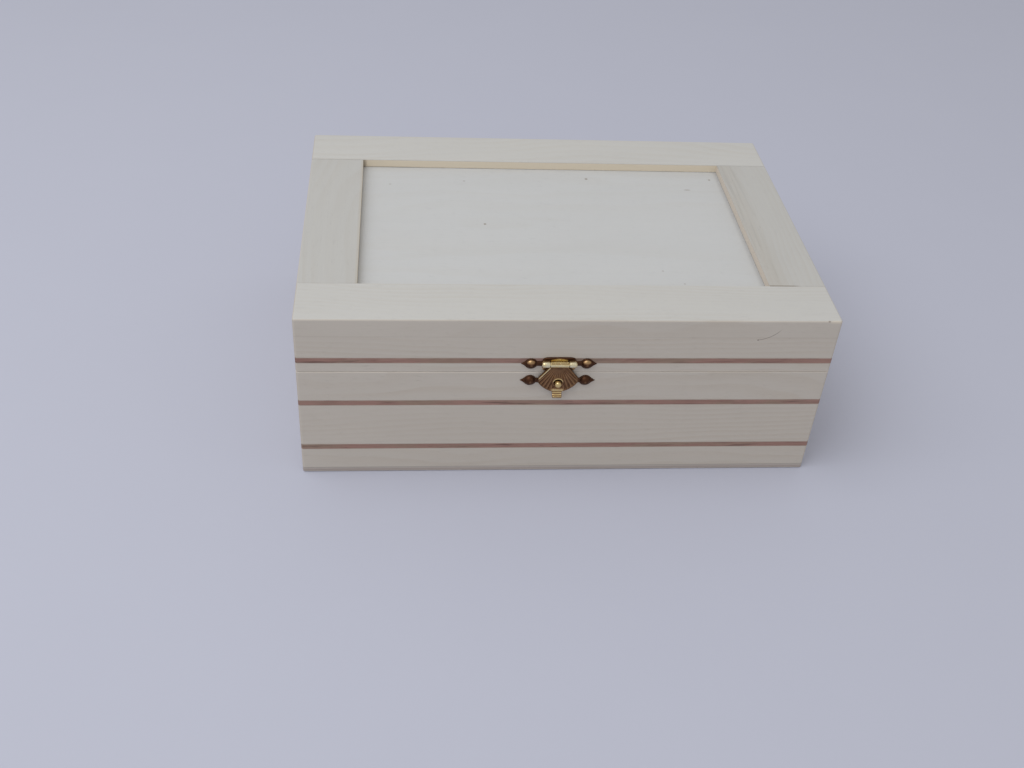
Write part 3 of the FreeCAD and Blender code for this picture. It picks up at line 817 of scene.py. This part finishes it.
def make_barrel():
    """Three knuckles: the plate's two with ball-like ends, the flap's with its rolled edge's line."""
    barrel_half = (pin_high[0] - pin_low[0]) / 2
    to_plate = plate_face - pin_y + 0.05
    web_height = 0.9 * knuckle_radius

    def rolled(x, angle):
        back = to_plate / np.clip(np.cos(angle), 0.05, None)
        top = web_height / np.clip(np.sin(angle), 0.05, None)
        web = np.where(angle <= np.pi / 2, np.minimum(back, top), 0)
        end = clasp_x + np.sign(x - clasp_x) * barrel_half
        swell = 1.0 + 0.05 * np.sin(np.clip(np.abs(x - end) / 3.0, 0, 1) * np.pi)
        return np.maximum(knuckle_radius * swell, web) * rounded_end(x, end, ball_end)

    def turned(x, angle):
        from_line = np.degrees(angle) - roll_line_deg
        line = roll_line_depth * np.exp(-(from_line / roll_line_half_deg) ** 2)
        ends = clasp_x + np.sign(x - clasp_x) * flap_neck_half
        return (knuckle_radius - line) * (0.9 + 0.1 * rounded_end(x, ends, 0.4))

    inner = flap_neck_half + knuckle_gap
    for side, left, right in (
        ("left", clasp_x - barrel_half, clasp_x - inner),
        ("right", clasp_x + inner, clasp_x + barrel_half),
    ):
        rings = tube_rings(left, right, rolled)
        front = smooth_step(plate_face - 0.2, pin_y, rings[..., 1])
        make_piece(f"clasp_{side}_knuckle", rings, 0.25 + 0.7 * front, "lid", "clasp_upper_plate", True)
    rings = tube_rings(clasp_x - flap_neck_half, clasp_x + flap_neck_half, turned)
    angle = np.degrees(np.arctan2(rings[..., 2] - pin_z, rings[..., 1] - pin_y))
    # painted shade darkens the rolled edge's real groove and the knuckle's underside
    roll_line_shade = np.exp(-((angle - roll_line_deg) / roll_line_half_deg) ** 2)
    under = smooth_step(-0.2, -0.9, (rings[..., 2] - pin_z) / knuckle_radius)
    make_piece("clasp_flap_knuckle", rings, 0.9 - 1.1 * roll_line_shade - 0.6 * under, "hasp", "clasp_flap", True)


# Clasp flap

flap_rise = 0.9
flap_sheet = 0.45
flap_half = (flap_high[0] - flap_low[0]) / 2
neck_top = 0.55
neck_drop = 1.3
shoulder_drop = 6.8
corner_drop = 8.4
belly_bulge = 0.6
waist_half = 2.5
waist_drop = 12.8
tab_half = 1.8
tab_radius = 1.5
tab_bend = math.radians(60.0)
tab_end = waist_drop + tab_radius * tab_bend + 0.8
hole_drop = pin_z - catch_z
hole_room = 0.2
hole_radius = stud_radius + hole_room
flute_pitch = math.radians(7.5)
flute_slope = 0.036
flute_reach = math.radians(48.75)
collar_width = 0.7
collar_rise = 0.25
bead_inset = 0.34
bead_half = 0.27
bead_rise = 0.34
rim_round = 0.32
face_polish = 0.15
ridge_polish = 0.24
left_bead_painted_highlight = 0.85
right_bead_polish = 0.25
tab_polish = 0.56
back_polish = 0.22
outline_points = 440
outline_passes = 14
flap_rows = 76


def flap_outline():
    """Outline of the flap, as offset from its middle and drop below the pin, evenly spaced.

    Straight sides from the neck to the shoulders, a short upright, a bulged side to the waist and the
    tab, mirrored; averaging neighbours rounds the corners.
    """
    corner = np.array([flap_half, corner_drop])
    waist = np.array([waist_half, waist_drop])
    slant = (waist - corner) / np.linalg.norm(waist - corner)
    share = np.linspace(0, 1, 24)[:, None]
    outward = np.array([slant[1], -slant[0]])
    belly = corner + (waist - corner) * share + outward * (4 * belly_bulge * share * (1 - share))
    upper = [(flap_neck_half, neck_top), (flap_neck_half, neck_drop), (flap_half, shoulder_drop)]
    tab = [(tab_half, waist_drop + 0.25), (tab_half, tab_end)]
    right = np.concatenate([upper, belly, tab])
    corners = np.concatenate([right, right[::-1] * (-1, 1), right[:1]])
    length = np.concatenate([[0], np.cumsum(np.linalg.norm(np.diff(corners, axis=0), axis=1))])
    even = np.linspace(0, length[-1], outline_points, endpoint=False)
    outline = np.stack([np.interp(even, length, corners[:, i]) for i in range(2)], -1)
    for _ in range(outline_passes):
        outline = (np.roll(outline, 1, 0) + 2 * outline + np.roll(outline, -1, 0)) / 4
    return outline


def rim_distance(flat, outline):
    """Distance of each point of the flat flap from the nearest point of its outline."""
    return np.stack([np.linalg.norm(row[:, None] - outline[None], axis=-1).min(1) for row in flat])


def bead_share(x, drop):
    """1 along the middle of the bead inside each slanted edge, 0 off it."""
    neck = np.array([flap_neck_half, neck_drop])
    run = np.array([flap_half, shoulder_drop]) - neck
    length = np.linalg.norm(run)
    run = run / length
    from_x = np.abs(x) - neck[0]
    from_drop = drop - neck[1]
    along = from_x * run[0] + from_drop * run[1]
    inward = from_drop * run[0] - from_x * run[1]
    ends = smooth_step(-0.2, 0.5, along) * smooth_step(length + 0.3, length - 0.4, along)
    return np.exp(-((inward - bead_inset) / bead_half) ** 2) * ends


def flap_relief(flat, rim):
    """Height of the flap's face above its back plane, and its shine with the left bead's painted
    highlight.

    Grooves fan out from the pin, cos(angle / pitch) across, and deepen with the distance from it. They
    fade out at the rim, the tab and the collar round the hole. A bead follows the slanted edges, two
    lines cross the tab, and the rim falls away in a quarter circle.
    """
    x, drop = flat[..., 0], flat[..., 1]
    reach = np.hypot(x, drop)
    angle = np.arctan2(x, drop)
    off_hole = np.hypot(x, drop - hole_drop) - hole_radius
    tab = smooth_step(waist_drop - 1.5, waist_drop - 0.6, drop)
    tab = tab * smooth_step(tab_half + 0.9, tab_half, np.abs(x))
    fluted = smooth_step(0.15, 0.8, rim) * (1 - tab) * smooth_step(2.0, 3.2, reach)
    fluted = fluted * smooth_step(collar_width, collar_width + 0.4, off_hole)
    fluted = fluted * smooth_step(flute_reach + 0.05, flute_reach - 0.02, np.abs(angle))
    groove = (0.5 + 0.5 * np.cos(2 * np.pi * angle / flute_pitch)) * fluted
    collar = smooth_step(collar_width, 0.45 * collar_width, off_hole) * smooth_step(-0.02, 0.2, off_hole)
    bead = bead_share(x, drop)
    past = drop - waist_drop
    lines = tab * sum(np.exp(-((past - at) / 0.16) ** 2) for at in (0.1, 0.95, 1.75))
    falling = 1 - np.sqrt(1 - np.clip(1 - rim / rim_round, 0, 1) ** 2)
    height = flap_rise - flute_slope * reach * groove + collar_rise * collar + bead_rise * bead
    height = height - 0.09 * lines - 0.35 * falling
    ridge = fluted * (1 - groove / np.maximum(fluted, 0.01))
    # both beads are worn bright; the left one also carries a painted highlight
    bead_wear_and_highlight = bead * np.where(x < 0, left_bead_painted_highlight, right_bead_polish)
    # the collar is brighter above the hole than below it
    collar_shine = collar * (0.25 + 0.5 * smooth_step(0.0, -0.8 * hole_radius, drop - hole_drop))
    shine_and_painted_light = face_polish + ridge_polish * ridge + collar_shine + bead_wear_and_highlight
    shine_and_painted_light = shine_and_painted_light + tab * (tab_polish - 0.5 * lines)
    return height, shine_and_painted_light * (1 - 0.5 * falling)


def curled(flat, height):
    """Points of the box for flat places of the flap and heights above its back plane.

    Down to the waist the sheet hangs straight; below it, it follows a circle away from the box through
    the bend angle, and then runs on straight.
    """
    past = np.maximum(flat[..., 1] - waist_drop, 0)
    bend = np.minimum(past / tab_radius, tab_bend)
    straight = past - bend * tab_radius
    from_pivot = tab_radius + flap_rise - height
    flap_face = flap_back - flap_rise
    y = flap_face - tab_radius + from_pivot * np.cos(bend) - straight * np.sin(bend)
    drop = np.minimum(flat[..., 1], waist_drop) + from_pivot * np.sin(bend) + straight * np.cos(bend)
    return np.stack([clasp_x + flat[..., 0], y, pin_z - drop], -1)


def make_flap():
    """Pressed shell: rays from the outline to the stud's hole carry the face in and the back out again."""
    outline = flap_outline()
    middle = np.array([0, hole_drop])
    away = outline - middle
    hole = middle + away / np.linalg.norm(away, axis=1, keepdims=True) * hole_radius
    share = np.linspace(0, 1, flap_rows)[:, None, None] ** 1.6
    flat = outline + (hole - outline) * share
    height, shine_and_painted_light = flap_relief(flat, rim_distance(flat, outline))
    face = curled(flat, height)
    back = curled(flat, height - flap_sheet)
    rings = np.concatenate([face, back[::-1]])
    point_shine_and_painted_light = np.concatenate([shine_and_painted_light, np.full_like(shine_and_painted_light, back_polish)])
    make_piece("clasp_shell_flap", rings, point_shine_and_painted_light, "hasp", "clasp_flap", True)


# Scene

surround = colour(0.56, 0.555, 0.55)
floor_dark = colour(0.530, 0.545, 0.645)
floor_pale = colour(0.540, 0.555, 0.655)
floor_reach = 5.0
lamp_place = Vector((-0.50, -0.30, 1.05))
lamp_aim = Vector((0, 0, 0.04))
lamp_size = 1.0
lamp_watts = 6.4
lamp_tint = (0.97, 0.985, 1.0)
panel_pith = (4.0, 52.0)
bottom_pith = (-8.0, 60.0)


def make_world():
    """Even pale surround."""
    world = bpy.data.worlds.new("studio")
    bpy.context.scene.world = world
    world.use_nodes = True
    background = world.node_tree.nodes["Background"]
    background.inputs["Color"].default_value = surround
    background.inputs["Strength"].default_value = 1.0


def make_floor():
    """Wide plain floor that the box stands on."""
    mesh = bpy.data.meshes.new("floor")
    sides = ((-1, -1), (1, -1), (1, 1), (-1, 1))
    corners = [(floor_reach * x, floor_reach * y, 0) for x, y in sides]
    mesh.from_pydata(corners, [], [(0, 1, 2, 3)])
    floor = bpy.data.objects.new("floor", mesh)
    bpy.context.scene.collection.objects.link(floor)
    finish = Finish("floor")
    grain = finish.noise(finish.place(), (0.02, 0.02, 0.02), 3.0)
    base = finish.mix(floor_dark, floor_pale, grain)
    mesh.materials.append(finish.close(base, 0.85, 0.0, grain, 0.01, 0.2))


def make_lamp():
    """Square soft box that faces the middle of the box."""
    data = bpy.data.lights.new("overhead", "AREA")
    data.shape = "SQUARE"
    data.size = lamp_size
    data.energy = lamp_watts
    data.color = lamp_tint
    lamp = bpy.data.objects.new("overhead", data)
    lamp.location = lamp_place
    lamp.rotation_mode = "QUATERNION"
    lamp.rotation_quaternion = (lamp_aim - lamp_place).to_track_quat("-Z", "Y")
    bpy.context.scene.collection.objects.link(lamp)


def make_camera():
    """Camera at the photograph's place, turned about its own line of sight."""
    data = bpy.data.cameras.new("camera")
    data.lens = camera_lens
    data.sensor_width = camera_sensor
    data.clip_start = 0.01
    camera = bpy.data.objects.new("camera", data)
    camera.location = camera_place
    camera.rotation_mode = "QUATERNION"
    look = (camera_aim - camera_place).to_track_quat("-Z", "Y")
    camera.rotation_quaternion = look @ Quaternion((0, 0, 1), math.radians(camera_roll_deg))
    bpy.context.scene.collection.objects.link(camera)
    bpy.context.scene.camera = camera


def node_finish(name, index):
    """Finish of one node of the frame, by what it is made of."""
    if name == "lid_panel":
        return panel_finish(name, index, panel_pith)
    if name == "base_bottom_panel":
        return bottom_finish(name, index, bottom_pith)
    if name.endswith(("_rail", "_stile")):
        return frame_finish(name, index)
    if name.endswith("_band"):
        return band_finish(name, index)
    if name.endswith("_strip"):
        return strip_finish(name, index)
    if name == "clasp_upper_nails":
        return nail_painted_reflection_finish(name, upper_nail_z, upper_nail_painted_reflection)
    if name == "clasp_lower_nails":
        return nail_painted_reflection_finish(name, catch_z, lower_nail_painted_reflection)
    return brass_finish(name, stud_polish if name == "clasp_stud" else hinge_polish)


def dress_frame():
    """Gives each node of the frame its finish."""
    for index, name in enumerate(sorted(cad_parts)):
        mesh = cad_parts[name].data
        mesh.materials.clear()
        mesh.materials.append(node_finish(name, index))


make_world()
make_floor()
make_lamp()
make_camera()
dress_frame()
make_plates()
make_barrel()
make_flap()
bpy.context.scene.view_settings.view_transform = "Standard"
